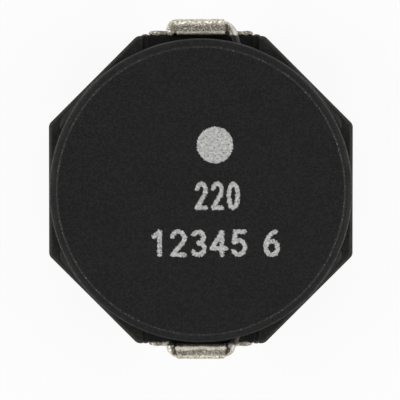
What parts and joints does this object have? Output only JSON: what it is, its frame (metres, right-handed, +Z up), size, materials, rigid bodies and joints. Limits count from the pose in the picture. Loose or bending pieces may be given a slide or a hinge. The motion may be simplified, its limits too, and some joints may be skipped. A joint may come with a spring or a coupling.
{
  "type": "shielded smd inductor",
  "caption": "Shielded power inductor for surface mounting: a wound ferrite drum closed by an octagonal ferrite ring, with a tinned clip terminal on two opposite sides.",
  "frame": {"origin": "centre of the footprint, on the surface that the feet of the clips stand on", "axes": "+Z up towards the marked face, the clips face -Y and +Y, +X to the right when the mark is read"},
  "size_m": [0.0122, 0.0136, 0.006],
  "materials": {
    "drum_ferrite": "matt black, fine speckle",
    "ring_ferrite": "matt black-brown, grainy",
    "enamelled_copper": "copper under clear enamel",
    "tinned_strip": "dull tinned bronze strip",
    "solder": "solder, satin and pitted",
    "clip_adhesive": "cured adhesive film",
    "epoxy": "cured pale epoxy"
  },
  "bodies": {
    "root": {"drum_core": "drum_ferrite", "shield_ring": "ring_ferrite", "winding": "enamelled_copper", "terminal_front": "tinned_strip", "terminal_back": "tinned_strip", "solder_front": "solder", "solder_back": "solder", "clip_glue_front": "clip_adhesive", "clip_glue_back": "clip_adhesive", "bead_front_right": "epoxy", "bead_back_right": "epoxy", "bead_back_left": "epoxy", "bead_front_left": "epoxy"}
  },
  "joints": []
}
